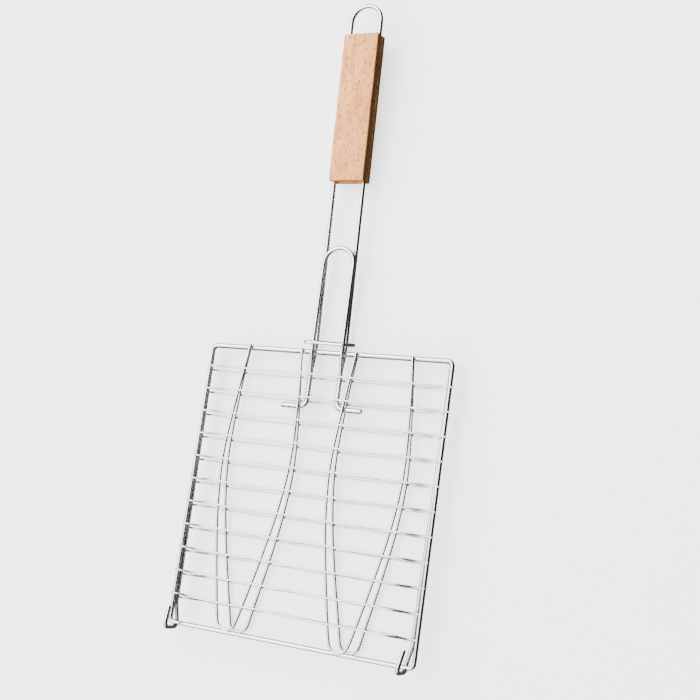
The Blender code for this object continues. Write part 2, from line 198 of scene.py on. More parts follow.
back = CAMERA_BACK.normalized()
right = (CAMERA_RIGHT - back * CAMERA_RIGHT.dot(back)).normalized()
turn = Matrix((right, back.cross(right), back)).transposed()
camera_data = bpy.data.cameras.new("camera")
camera_data.lens = LENS
camera_data.sensor_width = SENSOR
camera_data.clip_start = 0.05
camera = bpy.data.objects.new("camera", camera_data)
bpy.context.scene.collection.objects.link(camera)
camera.matrix_world = Matrix.Translation(on_floor(*CAMERA_PLACE)) @ (LEAF_TO_FLOOR.to_3x3() @ turn).to_4x4()
bpy.context.scene.camera = camera
print("camera stands", [round(v, 3) for v in camera.matrix_world.translation])

# %% [markdown]
# Bright wire shows whatever is round it. A pale room with one darker side gives each wire a white streak
# and a dark edge, and keeps its shadow on the floor faint. The floor is a wide, plain, pale sheet, lit
# a little from below as on a light table. Polished wire would mirror it along both edges and fade into
# it, so a studio lays dark cards round the object; here the sheet is pale to the eye and dark to the object.

# %% Floor, room and lights
WHITE = (1.0, 1.0, 1.0, 1.0)
FLOOR_SIZE = 14.0
FLOOR_COLOUR = (0.80, 0.80, 0.80, 1.0)
FLOOR_GLOW = 1.9
FLOOR_CARD = (0.11, 0.11, 0.11, 1.0)   # what the object gets of the floor
PAPER_ROUGHNESS = 0.9
PAPER_SHINE = 0.1


def deselect():
    bpy.ops.object.select_all(action="DESELECT")


deselect()
bpy.ops.mesh.primitive_plane_add(size=FLOOR_SIZE, location=(0.0, 0.0, 0.0))
floor = bpy.context.object
floor.name = "floor"
paper = bpy.data.materials.new("pale_paper")
paper.use_nodes = True
nodes = paper.node_tree.nodes
links = paper.node_tree.links
paper_shader = nodes["Principled BSDF"]
paper_shader.inputs["Base Color"].default_value = FLOOR_COLOUR
paper_shader.inputs["Roughness"].default_value = PAPER_ROUGHNESS
paper_shader.inputs["Specular IOR Level"].default_value = PAPER_SHINE
paper_shader.inputs["Emission Color"].default_value = WHITE
paper_shader.inputs["Emission Strength"].default_value = FLOOR_GLOW
card = nodes.new("ShaderNodeEmission")
card.inputs["Color"].default_value = FLOOR_CARD
ray = nodes.new("ShaderNodeLightPath")
either = nodes.new("ShaderNodeMixShader")
links.new(ray.outputs["Is Camera Ray"], either.inputs[0])
links.new(card.outputs[0], either.inputs[1])
links.new(paper_shader.outputs[0], either.inputs[2])
links.new(either.outputs[0], nodes["Material Output"].inputs["Surface"])
floor.data.materials.append(paper)

ROOM_BRIGHT = 4.2          # the pale wall and ceiling on the left
ROOM_DARK = 0.01           # the dark side on the right
ROOM_EDGE = (0.49, 0.67)   # where one turns into the other, from 0 at the far left to 1 at the far right
HORIZON_DIM = 0.08         # the room is dimmer low down
HORIZON_TOP = 0.65         # and as bright as it gets above this, from 0 level to 1 overhead
room = bpy.data.worlds.new("studio")
room.use_nodes = True
nodes = room.node_tree.nodes
links = room.node_tree.links
background = nodes["Background"]
direction = nodes.new("ShaderNodeTexCoord")
split = nodes.new("ShaderNodeSeparateXYZ")
sideways = nodes.new("ShaderNodeMapRange")
sideways.inputs["From Min"].default_value = 2 * ROOM_EDGE[0] - 1
sideways.inputs["From Max"].default_value = 2 * ROOM_EDGE[1] - 1
sideways.inputs["To Min"].default_value = ROOM_BRIGHT
sideways.inputs["To Max"].default_value = ROOM_DARK
sideways.interpolation_type = "SMOOTHSTEP"
upwards = nodes.new("ShaderNodeMapRange")
upwards.inputs["From Max"].default_value = HORIZON_TOP
upwards.inputs["To Min"].default_value = HORIZON_DIM
both = nodes.new("ShaderNodeMath")
both.operation = "MULTIPLY"
links.new(direction.outputs["Generated"], split.inputs["Vector"])
links.new(split.outputs["X"], sideways.inputs["Value"])
links.new(split.outputs["Z"], upwards.inputs["Value"])
links.new(sideways.outputs["Result"], both.inputs[0])
links.new(upwards.outputs["Result"], both.inputs[1])
links.new(both.outputs[0], background.inputs["Strength"])
background.inputs["Color"].default_value = WHITE
bpy.context.scene.world = room


def soft_light(name, place, size, power):
    """A square area light that looks at the basket."""
    data = bpy.data.lights.new(name, "AREA")
    data.size = size
    data.energy = power
    light = bpy.data.objects.new(name, data)
    bpy.context.scene.collection.objects.link(light)
    light.location = place
    light.rotation_euler = (-Vector(place)).to_track_quat("-Z", "Y").to_euler()


WINDOW_PLACE = (-1.5, 0.9, 2.2)
WINDOW_SIZE = 1.8
WINDOW_POWER = 75.0
soft_light("window", WINDOW_PLACE, WINDOW_SIZE, WINDOW_POWER)

# %% [markdown]
# Every wire starts as a centre line. Straight stretches are cut into short steps so that the finish can
# change along them; a bend is an arc, and a fish's side is a smooth curve through a few widths.

# %% Centre lines
STEP = 4.0


def arc(centre, radius, start, end, steps):
    """Points on an arc in the XY plane, from angle start to angle end in degrees."""
    angles = [math.radians(start + (end - start) * i / steps) for i in range(steps + 1)]
    return [(centre[0] + radius * math.cos(a), centre[1] + radius * math.sin(a)) for a in angles]


def through(points, steps):
    """A Catmull-Rom curve through points of any dimension, with steps stretches between two."""
    first = [2 * a - b for a, b in zip(points[0], points[1])]
    last = [2 * a - b for a, b in zip(points[-1], points[-2])]
    p = [first] + [list(q) for q in points] + [last]
    out = []
    for i in range(1, len(p) - 2):
        for k in range(steps):
            t = k / steps
            out.append(tuple(
                0.5 * (2 * b + (c - a) * t + (2 * a - 5 * b + 4 * c - d) * t * t
                       + (3 * b - a - 3 * c + d) * t ** 3)
                for a, b, c, d in zip(p[i - 1], p[i], p[i + 1], p[i + 2])))
    out.append(tuple(points[-1]))
    return out


def bent(points, radii, steps=8):
    """A polyline whose inner corners are rounded, each to its own radius."""
    pts = [Vector(q) for q in points]
    out = [pts[0]]
    for i in range(1, len(pts) - 1):
        before = (pts[i - 1] - pts[i]).normalized()
        after = (pts[i + 1] - pts[i]).normalized()
        half = before.angle(after) / 2
        centre = pts[i] + (before + after).normalized() * (radii[i - 1] / math.sin(half))
        reach = radii[i - 1] / math.tan(half)
        a = pts[i] + before * reach - centre
        b = pts[i] + after * reach - centre
        sweep = a.angle(b)
        for k in range(steps + 1):
            t = k / steps
            out.append(centre + (a * math.sin((1 - t) * sweep) + b * math.sin(t * sweep)) / math.sin(sweep))
    out.append(pts[-1])
    return [tuple(q) for q in out]


def stepped(points, closed=False, step=STEP):
    """The same line with its long stretches cut into short steps."""
    ends = list(points) + ([points[0]] if closed else [])
    out = []
    for a, b in zip(ends, ends[1:]):
        a, b = Vector(a), Vector(b)
        count = max(1, round((b - a).length / step))
        out += [tuple(a.lerp(b, k / count)) for k in range(count)]
    if not closed:
        out.append(tuple(ends[-1]))
    return out


def smooth(t):
    """Ease from 0 to 1."""
    t = min(1.0, max(0.0, t))
    return t * t * (3 - 2 * t)


def on_leaf(x, y, z, leaf):
    """A place of the mesh on the front leaf (1), or mirrored through the thickness on the back one (-1)."""
    if leaf > 0:
        return x - BAR_SKEW * (y - FRONT_BAR_START), y + BAR_SKEW * x, z
    return x + BACK_LEAF_SHIFT, y, -LEAF_STEP - z


print("a full rail has", len(stepped([(-SIDE_X, 0, 0), (SIDE_X, 0, 0)])), "places")

# %% [markdown]
# A round wire is a curve with a round bevel, made into a mesh so that its doubles can be merged and its
# cut ends eased with a small bevel, as a sheared wire's are. A line drawn in this way keeps the same
# section round every bend, which extruding a circle by hand would not.

# %% Drawing a wire
SECTION = {"fine": 5, "thick": 8}   # steps in a quarter of the round section
FINE_BELOW = 3.0                    # wires thinner than this are fine ones
THIN_END = 0.2                      # how much a cut end is eased
MIDDLE_END = 0.25
THICK_END = 0.4
END_ANGLE = math.radians(60)
SMOOTH_ANGLE = math.radians(50)
MERGE = 0.00001


def select_only(ob):
    deselect()
    ob.select_set(True)
    bpy.context.view_layer.objects.active = ob


def draw_wire(name, points, diameter, body, node, closed=False, ends=MIDDLE_END):
    """A round wire of the given diameter along points, standing for one CAD node."""
    data = bpy.data.curves.new(name, "CURVE")
    data.dimensions = "3D"
    data.bevel_depth = diameter / 2 * MM
    data.bevel_resolution = SECTION["fine" if diameter < FINE_BELOW else "thick"]
    data.use_fill_caps = not closed
    line = stepped(points, closed)
    spline = data.splines.new("POLY")
    spline.points.add(len(line) - 1)
    for point, place in zip(spline.points, line):
        point.co = (*on_floor(*place), 1.0)
    spline.use_cyclic_u = closed
    ob = bpy.data.objects.new(name, data)
    bpy.context.scene.collection.objects.link(ob)
    select_only(ob)
    bpy.ops.object.convert(target="MESH")
    ob = bpy.context.object
    bpy.ops.object.mode_set(mode="EDIT")
    bpy.ops.mesh.select_all(action="SELECT")
    bpy.ops.mesh.remove_doubles(threshold=MERGE)
    bpy.ops.mesh.normals_make_consistent(inside=False)
    bpy.ops.object.mode_set(mode="OBJECT")
    if not closed:
        eased = ob.modifiers.new("cut end", "BEVEL")
        eased.width = ends * MM
        eased.segments = 2
        eased.limit_method = "ANGLE"
        eased.angle_limit = END_ANGLE
        bpy.ops.object.modifier_apply(modifier=eased.name)
    bpy.ops.object.shade_smooth_by_angle(angle=SMOOTH_ANGLE)
    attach(ob, body)
    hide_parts(node)
    return ob


wires = []

# %% [markdown]
# The front leaf's frame is one closed rounded rectangle. Its bottom rail is the rod the hinge turns on,
# so it is left plain there, with no weld along it.

# %% Front frame
corners = [(SIDE_X, 0, -90), (SIDE_X, BASKET_LENGTH, 0), (-SIDE_X, BASKET_LENGTH, 90), (-SIDE_X, 0, 180)]
rectangle = []
for x, y, start in corners:
    centre = (x - math.copysign(CORNER_RADIUS, x), y + CORNER_RADIUS if y == 0 else y - CORNER_RADIUS)
    rectangle += arc(centre, CORNER_RADIUS, start, start + 90, 8)
front_frame = draw_wire("front_frame_wire", [(x, y, 0.0) for x, y in rectangle], FRAME_WIRE,
                        "front_leaf", "front_frame", closed=True)
wires.append(front_frame)
print("front frame:", len(front_frame.data.polygons), "faces")

# %% [markdown]
# The back frame is open at the hinge. Its side rails draw a little closer towards it, step inwards there,
# pass under the front leaf's bottom rail, and come up and over it as two J hooks, which is all that the
# hinge is.

# %% Back frame and its hooks
def hook_path(side):
    """One hook, from half way down the side rail to its tip."""
    hook_x = side * HOOK_HALF + BACK_LEAF_SHIFT
    tip_x = hook_x + side * HOOK_TIP_OUT[side > 0]
    rail = [(side * rail_half(y, -1) + BACK_LEAF_SHIFT, y) for y in (BASKET_LENGTH / 2, HOOK_JOG_START)]
    places = [
        (*rail[0], -LEAF_STEP),
        (*rail[1], -LEAF_STEP),
        (hook_x, HOOK_JOG_END, -LEAF_STEP),
        (hook_x, -LEAF_STEP, -LEAF_STEP),
        (hook_x, -LEAF_STEP, HOOK_REACH),
        (tip_x, *HOOK_TIP),
    ]
    return bent(places, [*HOOK_JOG_BENDS, LEAF_STEP, HOOK_FRONT_BEND])


inner = (SIDE_X - CORNER_RADIUS, BASKET_LENGTH - CORNER_RADIUS)
top_rail = arc(inner, CORNER_RADIUS, 0, 90, 8) + arc((-inner[0], inner[1]), CORNER_RADIUS, 90, 180, 8)
top_rail = [(x + BACK_LEAF_SHIFT, y, -LEAF_STEP) for x, y in top_rail]
hooked = list(reversed(hook_path(1)))[:-1] + top_rail + hook_path(-1)[1:]
back_frame = draw_wire("back_frame_wire", hooked, FRAME_WIRE, "back_leaf", "back_frame_with_hooks",
                       ends=THICK_END)
wires.append(back_frame)
print("back frame:", len(back_frame.data.polygons), "faces")

# %% [markdown]
# Eleven thin bars cross each leaf on the outside. They are level over the fish and cranked down to the
# side rails. Thin wire straightened by machine is never quite straight, so each bar wanders by a tenth
# of a millimetre or two between its welds; a seeded draw gives each its own wander.

# %% Cross bars
BAR_STEPS = 72
WANDER = 0.22
WANDER_FADE = 15.0    # it fades out over this length at each end
WANDER_WAVES = ((0.021, 1.0), (0.047, 0.6))


def bar_path(y, leaf, seed):
    """One cross bar from end to end, bowed a little in its own plane."""
    draw = random.Random(seed)
    phases = [draw.uniform(0, 2 * math.pi) for _ in WANDER_WAVES]
    fall = BAR_LEVEL_INSET - BAR_LOW_INSET
    low = rail_half(y, leaf) - BAR_LOW_INSET
    half = rail_half(y, leaf) + BAR_OVERHANG
    level = fish_z(y) + BAR_OVER_FISH
    points = []
    for k in range(BAR_STEPS + 1):
        x = -half + 2 * half * k / BAR_STEPS
        z = BAR_EDGE_Z + (level - BAR_EDGE_Z) * smooth((low - abs(x)) / fall)
        free = smooth((low - abs(x)) / WANDER_FADE)
        drift = sum(share * math.sin(wave * 2 * math.pi * x / 2 + phase)
                    for (wave, share), phase in zip(WANDER_WAVES, phases))
        points.append(on_leaf(x, y + WANDER * free * drift, z, leaf))
    return points


leaves = (
    (1, "front", "front_leaf", FRONT_BAR_START, FRONT_BAR_PITCH),
    (-1, "back", "back_leaf", BACK_BAR_START, BACK_BAR_PITCH),
)
for leaf, word, body, start, pitch in leaves:
    for k in range(BAR_COUNT):
        path = bar_path(start + k * pitch, leaf, seed=40 * leaf + k)
        bar = draw_wire("%s_bar_wire_%02d" % (word, k + 1), path, BAR_WIRE, body,
                        "%s_bar_%02d" % (word, k + 1), ends=THIN_END)
        wires.append(bar)
print("bars:", 2 * BAR_COUNT)

# %% [markdown]
# Each leaf has two fish outlines under its bars: a round nose by the hinge, swelling sides, and two ends
# welded over the top rail where the tail would be. The front leaf's pair leans a little.

# %% Fish outlines
def half_outline(nose_y):
    """Half width and height along one side of an outline, from the nose to the cut end."""
    nose = arc((0, nose_y + FISH_NOSE_RADIUS), FISH_NOSE_RADIUS, -90, FISH_NOSE_SWEEP - 90, 10)
    side = [(half, y) for y, half in FISH_SIDE] + [(FISH_TOP_HALF, BASKET_LENGTH + FISH_TOP_OVERHANG)]
    return nose[:-1] + through([nose[-1]] + side, 10)


outlines = {1: half_outline(FRONT_NOSE_Y), -1: half_outline(BACK_NOSE_Y)}
for leaf, word, body, start, pitch in leaves:
    for side, hand in ((-1, "left"), (1, "right")):
        flat = [(-x, y) for x, y in reversed(outlines[leaf][1:])] + outlines[leaf]
        path = [on_leaf(fish_middle(side, y, leaf) + x, y, fish_z(y), leaf) for x, y in flat]
        fish = draw_wire("%s_fish_wire_%s" % (word, hand), path, FISH_WIRE, body,
                         "%s_fish_outline_%s" % (word, hand))
        wires.append(fish)
print("outline places:", len(outlines[1]))

# %% [markdown]
# Both handles start the same way: two feet inside the outlines, two legs, and a step outwards over the
# top rail. The front one closes in a short loop. The back one rises gently out of the basket's plane,
# runs through the grip and closes in the hanging loop.

# %% Handles
def leg(side, upper):
    """A handle's foot and leg: inside the outlines, then out over the top rail and on to upper."""
    x = side * LEG_HALF
    over = BASKET_LENGTH - FRAME_R
    places = [
        (side * FOOT_HALF, FOOT_Y, FOOT_Z),
        (x, FOOT_Y, FOOT_Z),
        (x, over - LEG_RAMP, FOOT_Z),
        (x, over, LEG_TOP_Z),
    ]
    places += [(x, y, z) for y, z in upper]
    return bent(places, [FOOT_BEND] + [LEG_BEND] * (len(places) - 3))


end_y = SHORT_HANDLE_TOP - LEG_HALF
crown = [(x, y, LEG_TOP_Z) for x, y in arc((0, end_y), LEG_HALF, 180, 0, 28)]
path = leg(-1, [(end_y, LEG_TOP_Z)]) + crown[1:-1] + list(reversed(leg(1, [(end_y, LEG_TOP_Z)])))
path = [(x + short_handle_x(y), y, z) for x, y, z in path]
short_handle = draw_wire("short_handle_wire", path, HANDLE_WIRE, "front_leaf", "short_handle_loop",
                         ends=THICK_END)

end_y = HANGING_LOOP_TOP - LEG_HALF
upper = [(y, -LEAF_STEP - long_handle_z(y)) for y in (INCLINE_START, end_y)]
crown = [(x, y, -LEAF_STEP - long_handle_z(y)) for x, y in arc((0, end_y), LEG_HALF, 180, 0, 28)]
path = leg(-1, upper) + crown[1:-1] + list(reversed(leg(1, upper)))
path = [(x + LONG_HANDLE_X, y, -LEAF_STEP - z) for x, y, z in path]
long_handle = draw_wire("long_handle_round_wire", path, HANDLE_WIRE, "back_leaf", "long_handle_wire",
                        ends=THICK_END)
wires += [short_handle, long_handle]
print("handle faces:", len(short_handle.data.polygons), len(long_handle.data.polygons))

# %% [markdown]
# The latch ring is a length of thinner wire bent into a flattened oval round all four legs. It is loose,
# so it lies over a little and sits slightly askew.

# %% Latch ring
play = HANDLE_R + RING_CLEARANCE + RING_R
ring_z = (LEG_TOP_Z + long_handle_z(RING_Y)) / 2
ring_middle = Vector(((short_handle_x(RING_Y) + LONG_HANDLE_X) / 2, RING_Y, ring_z))
tilt = Matrix.Rotation(math.radians(RING_TURN), 3, "Z") @ Matrix.Rotation(math.radians(RING_TILT), 3, "X")
half_height = ((LEG_TOP_Z - long_handle_z(RING_Y)) / 2 + play) / math.cos(math.radians(RING_TILT))
half_width = (short_handle_x(RING_Y) - LONG_HANDLE_X) / 2 + LEG_HALF + play
oval = []
for sx, sz, start in ((1, 1, 0), (-1, 1, 90), (-1, -1, 180), (1, -1, 270)):
    oval += arc((sx * (half_width - play), sz * (half_height - play)), play, start, start + 90, 8)
ring = draw_wire("latch_ring_wire", [ring_middle + tilt @ Vector((x, 0, z)) for x, z in oval], RING_WIRE,
                 "latch_ring", "latch_ring", closed=True)
wires.append(ring)
print("ring is %.1f by %.1f mm inside" % (2 * (half_width - RING_R), 2 * (half_height - RING_R)))

# %% [markdown]
# Wherever two wires cross they are spot welded: the metal squeezes out into a small flattened bead. One
# bead is modelled and copied to every crossing, a few dozen faces each, and the beads of a leaf are
# joined into one piece. The list of crossings also tells the wires' finish where to put the dark weld
# marks, which are part heat tint and part painted contact shade.

# %% Weld places
TAIL_SPREAD = 0.4     # an outline is this much wider over the top rail than at its cut ends


def outline_x(y, side):
    """Half width of an outline where it crosses height y, well above its nose."""
    for (xa, ya), (xb, yb) in zip(outlines[1], outlines[1][1:]):
        if ya <= y <= yb:
            return side * (xa + (xb - xa) * (y - ya) / (yb - ya))
    return side * FISH_TOP_HALF


def leaf_welds(leaf, start, pitch):
    """Places of a leaf's welds, each with the radius of the wires it joins."""
    found = []
    for k in range(BAR_COUNT):
        y = start + k * pitch
        for side in (-1, 1):
            rail = side * rail_half(y, leaf)
            x, wy, z = on_leaf(rail, y, FRAME_R + WELD_GAP / 2, leaf)
            found.append(((rail if leaf > 0 else x, wy, z), BAR_R))
            for fish in (-1, 1):
                fx = fish_middle(fish, y, leaf) + outline_x(y, side)
                found.append((on_leaf(fx, y, fish_z(y) + FISH_R + WELD_GAP / 2, leaf), BAR_R))
    for side in (-1, 1):
        for fish in (-1, 1):
            fx = fish_middle(fish, BASKET_LENGTH, leaf) + side * (FISH_TOP_HALF + TAIL_SPREAD)
            found.append((on_leaf(fx, BASKET_LENGTH, FRAME_R + WELD_GAP / 2, leaf), FISH_R))
        foot_x = fish_middle(side, FOOT_Y, leaf) - side * outline_x(FOOT_Y, 1)
        found.append((on_leaf(foot_x, FOOT_Y, fish_z(FOOT_Y) - FISH_R - WELD_GAP / 2, leaf), FISH_R))
        middle = short_handle_x(BASKET_LENGTH) if leaf > 0 else LONG_HANDLE_X - BACK_LEAF_SHIFT
        x, wy, z = on_leaf(middle + side * LEG_HALF, BASKET_LENGTH, FRAME_R + WELD_GAP / 2, leaf)
        found.append(((middle + side * LEG_HALF if leaf > 0 else x, BASKET_LENGTH, z), HANDLE_R))
    return found


welds = {word: leaf_welds(leaf, start, pitch) for leaf, word, body, start, pitch in leaves}
print("welds:", {word: len(found) for word, found in welds.items()})

# %% Weld beads
BEAD_WIDTH = 0.82
BEAD_HEIGHT = 0.62
BEAD_VARIES = (0.9, 1.12)
BEAD_STRETCH = (0.95, 1.2)
BEAD_SEED = 7

deselect()
bpy.ops.mesh.primitive_uv_sphere_add(segments=10, ring_count=6, radius=1.0, location=(0, 0, 0))
bead = bpy.context.object
bead.name = "bead"
bpy.ops.object.mode_set(mode="EDIT")
bpy.ops.mesh.select_all(action="SELECT")
bpy.ops.transform.resize(value=(1.0, 1.0, BEAD_HEIGHT))
bpy.ops.object.mode_set(mode="OBJECT")
bpy.ops.object.shade_smooth()

weld_pieces = []
for leaf, word, body, start, pitch in leaves:
    draw = random.Random(BEAD_SEED + leaf)
    copies = []
    for place, radius in welds[word]:
        copy = bpy.data.objects.new("bead_copy", bead.data.copy())
        bpy.context.scene.collection.objects.link(copy)
        size = radius * BEAD_WIDTH * draw.uniform(*BEAD_VARIES) * MM
        spin = Matrix.Rotation(draw.uniform(0, math.pi), 4, "Z")
        stretch = Matrix.Diagonal((size * draw.uniform(*BEAD_STRETCH), size, size, 1.0))
        lie = LEAF_TO_FLOOR.to_3x3().to_4x4()
        copy.data.transform(Matrix.Translation(on_floor(*place)) @ lie @ spin @ stretch)
        copies.append(copy)
    deselect()
    for copy in copies:
        copy.select_set(True)
    bpy.context.view_layer.objects.active = copies[0]
    bpy.ops.object.join()
    beads = bpy.context.object
    beads.name = word + "_leaf_welds"
    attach(beads, body)
    weld_pieces.append(beads)
bpy.data.objects.remove(bead)
print("bead faces:", [len(o.data.polygons) for o in weld_pieces])

# %% [markdown]
# The heat of a weld dulls the plating round it, and the crossing wires shade each other there. Each wire
# carries an attribute that is 1 at a weld and fades out within a few millimetres; the finish reads it as a
# dull, dark, slightly brown patch that is part heat tint and part painted contact shade.

# %% Heat marks and painted contact shade
HEAT_AND_SHADE_REACH = 2.6
tree = KDTree(sum(len(found) for found in welds.values()))
index = 0
for found in welds.values():
    for place, radius in found:
        tree.insert(on_floor(*place), index)
        index += 1
tree.balance()


def mark_heat_and_shade(ob):
    """Store how close each point of a wire is to a weld."""
    # this closeness is the mask of the weld marks, which are part heat tint and part painted contact shade
    heat = ob.data.attributes.new("heat", "FLOAT", "POINT")
    for vert in ob.data.vertices:
        distance = tree.find(vert.co)[2] / MM
        heat.data[vert.index].value = math.exp(-(distance / HEAT_AND_SHADE_REACH) ** 2)


for ob in wires + weld_pieces:
    mark_heat_and_shade(ob)
print("marked", len(wires + weld_pieces), "pieces")

# %% [markdown]
# The wire is drawn steel with a thin bright plating. Close to, it has faint streaks and specks, slightly
# cloudy patches, and the dull weld marks, darkened as painted contact shade. The group below makes those
# three; both wire finishes and the screws use it with their own values.

# %% Finish group: drawn wire
def new_group(name, inputs, outputs):
    """A node group with float inputs and typed outputs, and its two end nodes."""
    group = bpy.data.node_groups.new(name, "ShaderNodeTree")
    for label, value in inputs:
        socket = group.interface.new_socket(label, in_out="INPUT", socket_type="NodeSocketFloat")
        socket.default_value = value
    for label, kind in outputs:
        group.interface.new_socket(label, in_out="OUTPUT", socket_type=kind)
    return group, group.nodes.new("NodeGroupInput"), group.nodes.new("NodeGroupOutput")


def math_node(tree, operation, a, b, clamp=False):
    """A maths node; a and b are sockets or numbers."""
    node = tree.nodes.new("ShaderNodeMath")
    node.operation = operation
    node.use_clamp = clamp
    for socket, value in zip(node.inputs, (a, b)):
        if isinstance(value, (int, float)):
            socket.default_value = value
        else:
            tree.links.new(value, socket)
    return node.outputs[0]


def noise_node(tree, vector, scale, detail=3.0):
    node = tree.nodes.new("ShaderNodeTexNoise")
    node.inputs["Detail"].default_value = detail
    if isinstance(scale, (int, float)):
        node.inputs["Scale"].default_value = scale
    else:
        tree.links.new(scale, node.inputs["Scale"])
    tree.links.new(vector, node.inputs["Vector"])
    return node.outputs["Fac"]


def mix_colour(tree, factor, a, b):
    """Mix two colours; a and b are sockets or colours."""
    node = tree.nodes.new("ShaderNodeMix")
    node.data_type = "RGBA"
    tree.links.new(factor, node.inputs["Factor"])
    for socket, value in ((node.inputs[6], a), (node.inputs[7], b)):
        if isinstance(value, tuple):
            socket.default_value = value
        else:
            tree.links.new(value, socket)
    return node.outputs[2]


PLATE = (0.74, 0.74, 0.735, 1.0)
PLATE_CLOUD = (0.55, 0.55, 0.55, 1.0)
# dark weld-mark colour: part heat tint, part painted contact shade where the wires cross
HEAT_TINT_AND_SHADE = (0.10, 0.085, 0.075, 1.0)
CLOUD_SCALE = 55.0
CLOUD_ROUGH = 0.25     # how much rougher a cloudy patch is
HEAT_ROUGH = 0.3       # and how much rougher a weld mark is
HEAT_AND_SHADE_SPECKLE = 1.6

wire_group, wire_in, wire_out = new_group(
    "drawn_wire",
    [("Gloss", 0.2), ("Cloud", 0.35), ("Heat and Shade", 0.7), ("Speck Scale", 900.0)],
    [("Color", "NodeSocketColor"), ("Roughness", "NodeSocketFloat"), ("Height", "NodeSocketFloat")],
)
place = wire_group.nodes.new("ShaderNodeTexCoord").outputs["Object"]
heat = wire_group.nodes.new("ShaderNodeAttribute")
heat.attribute_name = "heat"
cloud = noise_node(wire_group, place, CLOUD_SCALE, 2.0)
speck = noise_node(wire_group, place, wire_in.outputs["Speck Scale"], 4.0)
cloud_share = math_node(wire_group, "MULTIPLY", cloud, wire_in.outputs["Cloud"], clamp=True)
heat_and_shade_speckle = math_node(wire_group, "MULTIPLY", speck, HEAT_AND_SHADE_SPECKLE)
# the weld mark: part heat tint, part painted contact shade at the crossings
heat_and_shade_share = math_node(wire_group, "MULTIPLY", heat.outputs["Fac"], wire_in.outputs["Heat and Shade"])
heat_and_shade_share = math_node(wire_group, "MULTIPLY", heat_and_shade_share, heat_and_shade_speckle, clamp=True)
base = mix_colour(wire_group, cloud_share, PLATE, PLATE_CLOUD)
base = mix_colour(wire_group, heat_and_shade_share, base, HEAT_TINT_AND_SHADE)
rough = math_node(wire_group, "MULTIPLY", cloud_share, CLOUD_ROUGH)
rough = math_node(wire_group, "ADD", rough, wire_in.outputs["Gloss"])
mark_rough = math_node(wire_group, "MULTIPLY", heat_and_shade_share, HEAT_ROUGH)
rough = math_node(wire_group, "ADD", rough, mark_rough, clamp=True)
wire_group.links.new(base, wire_out.inputs["Color"])
wire_group.links.new(rough, wire_out.inputs["Roughness"])
wire_group.links.new(speck, wire_out.inputs["Height"])
print("group drawn_wire has", len(wire_group.nodes), "nodes")


# %% Wire materials
SPECK_DEPTH = 0.0001


def wire_material(name, gloss, cloud_amount, heat_and_shade_amount, speck_scale, bump):
    """Bright metal with the drawn-wire finish."""
    mat = bpy.data.materials.new(name)
    mat.use_nodes = True
    tree = mat.node_tree
    shader = tree.nodes["Principled BSDF"]
    shader.inputs["Metallic"].default_value = 1.0
    finish = tree.nodes.new("ShaderNodeGroup")
    finish.node_tree = wire_group
    finish.inputs["Gloss"].default_value = gloss
    finish.inputs["Cloud"].default_value = cloud_amount
    finish.inputs["Heat and Shade"].default_value = heat_and_shade_amount
    finish.inputs["Speck Scale"].default_value = speck_scale
    relief = tree.nodes.new("ShaderNodeBump")
    relief.inputs["Strength"].default_value = bump
    relief.inputs["Distance"].default_value = SPECK_DEPTH
    tree.links.new(finish.outputs["Color"], shader.inputs["Base Color"])
    tree.links.new(finish.outputs["Roughness"], shader.inputs["Roughness"])
    tree.links.new(finish.outputs["Height"], relief.inputs["Height"])
    tree.links.new(relief.outputs["Normal"], shader.inputs["Normal"])
    return mat


# Each finish: its gloss, cloudiness, weld marks (heat tint and painted contact shade), speck scale and
# relief.
thick_wire = wire_material("bright_frame_wire", 0.13, 0.35, 0.75, 700.0, 0.25)
thin_wire = wire_material("bright_bar_wire", 0.17, 0.45, 0.65, 1100.0, 0.3)
weld_metal = wire_material("weld_metal", 0.32, 0.6, 0.9, 1500.0, 0.6)
screw_metal = wire_material("screw_metal", 0.28, 0.5, 0.0, 900.0, 0.3)


def finish_with(ob, mat):
    ob.data.materials.clear()
    ob.data.materials.append(mat)


for ob in wires:
    finish_with(ob, thin_wire if "_bar_" in ob.name else thick_wire)
for ob in weld_pieces:
    finish_with(ob, weld_metal)
print("wire pieces finished:", len(wires) + len(weld_pieces))

# %% [markdown]
# The grip is two beech slabs with the handle's wires let in between them, held by two countersunk screws
# from behind. Each slab is a box with its edges rounded; the back slab has the rib that fills the space
# between the wires.

# %% Grip slabs
GRIP_SIDE = 0.9       # rounding of the slabs' edges
GRIP_ROUNDS = 4
SLAB_SMOOTH = math.radians(35)
grip_middle_y = GRIP_START + GRIP_LENGTH / 2
grip_turn = Matrix.Rotation(math.atan(INCLINE), 4, "X")
grip_place = Matrix.Translation(Vector((LONG_HANDLE_X, grip_middle_y, long_handle_z(grip_middle_y))) * MM)
GRIP_TO_FLOOR = LEAF_TO_FLOOR @ grip_place @ grip_turn


def box_add(name, low, high):
    """A box between two corners, in mm, at the origin of the grip's own frame."""
    deselect()
    bpy.ops.mesh.primitive_cube_add(size=1.0, location=(0, 0, 0))
    ob = bpy.context.object
    ob.name = name
    low, high = Vector(low), Vector(high)
    bpy.ops.object.mode_set(mode="EDIT")
    bpy.ops.mesh.select_all(action="SELECT")
    bpy.ops.transform.resize(value=(high - low) * MM)
    bpy.ops.transform.translate(value=(high + low) / 2 * MM)
    bpy.ops.object.mode_set(mode="OBJECT")
    return ob


def round_edges(ob, width, segments):
    """Round every edge of a box in edit mode."""
    select_only(ob)
    bpy.ops.object.mode_set(mode="EDIT")
    bpy.ops.mesh.select_all(action="SELECT")
    bpy.ops.mesh.bevel(offset=width * MM, segments=segments, profile=0.5, affect="EDGES")
    bpy.ops.object.mode_set(mode="OBJECT")


def boolean(ob, tool, operation):
    """Apply one Boolean and take the tool away."""
    select_only(ob)
    cut = ob.modifiers.new("cut", "BOOLEAN")
    cut.operation = operation
    cut.solver = "EXACT"
    cut.object = tool
    bpy.ops.object.modifier_apply(modifier=cut.name)
    bpy.data.objects.remove(tool)


